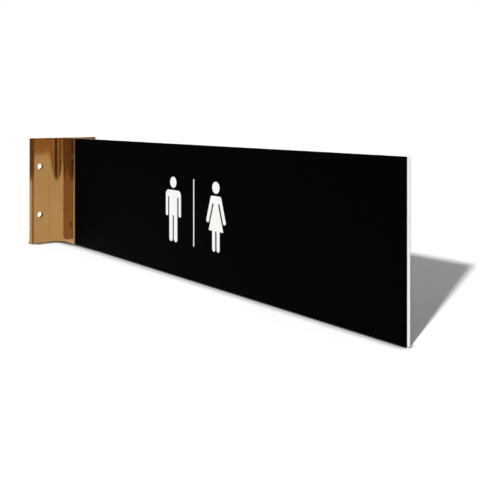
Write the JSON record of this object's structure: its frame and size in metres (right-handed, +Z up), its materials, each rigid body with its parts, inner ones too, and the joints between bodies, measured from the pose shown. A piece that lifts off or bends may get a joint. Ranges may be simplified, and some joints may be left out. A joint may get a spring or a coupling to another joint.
{
  "type": "projecting wall sign",
  "caption": "Two-sided engraved laminate sign plate clamped by set screws in the channel of a T-section wall bracket.",
  "frame": {"origin": "centre of the bracket's wall face", "axes": "+X away from the wall along the plate, +Y to the far side, away from the set screws, +Z up"},
  "size_m": [0.3092, 0.052, 0.0762],
  "materials": {
    "gold_anodised_aluminium": "polished and gold anodised, satin sheen",
    "black_cap_laminate": "fine matte black cap layer",
    "white_core_laminate": "sawn and engraved white core",
    "set_screw_steel": "plated alloy steel"
  },
  "bodies": {
    "bracket": {"wall_bracket": "gold_anodised_aluminium"},
    "plate": {"plate_core": "white_core_laminate", "plate_front_cap": "black_cap_laminate", "plate_back_cap": "black_cap_laminate"},
    "screw_upper": {"set_screw_upper": "set_screw_steel"},
    "screw_lower": {"set_screw_lower": "set_screw_steel"}
  },
  "joints": [
    {"name": "plate_slide", "type": "slide", "parent": "bracket", "child": "plate", "axis": [1, 0, 0], "range_m": [0, 0.019]},
    {"name": "screw_upper_thread", "type": "slide", "parent": "bracket", "child": "screw_upper", "axis": [0, -1, 0], "range_m": [0, 0.0008]},
    {"name": "screw_lower_thread", "type": "slide", "parent": "bracket", "child": "screw_lower", "axis": [0, -1, 0], "range_m": [0, 0.0008]}
  ]
}
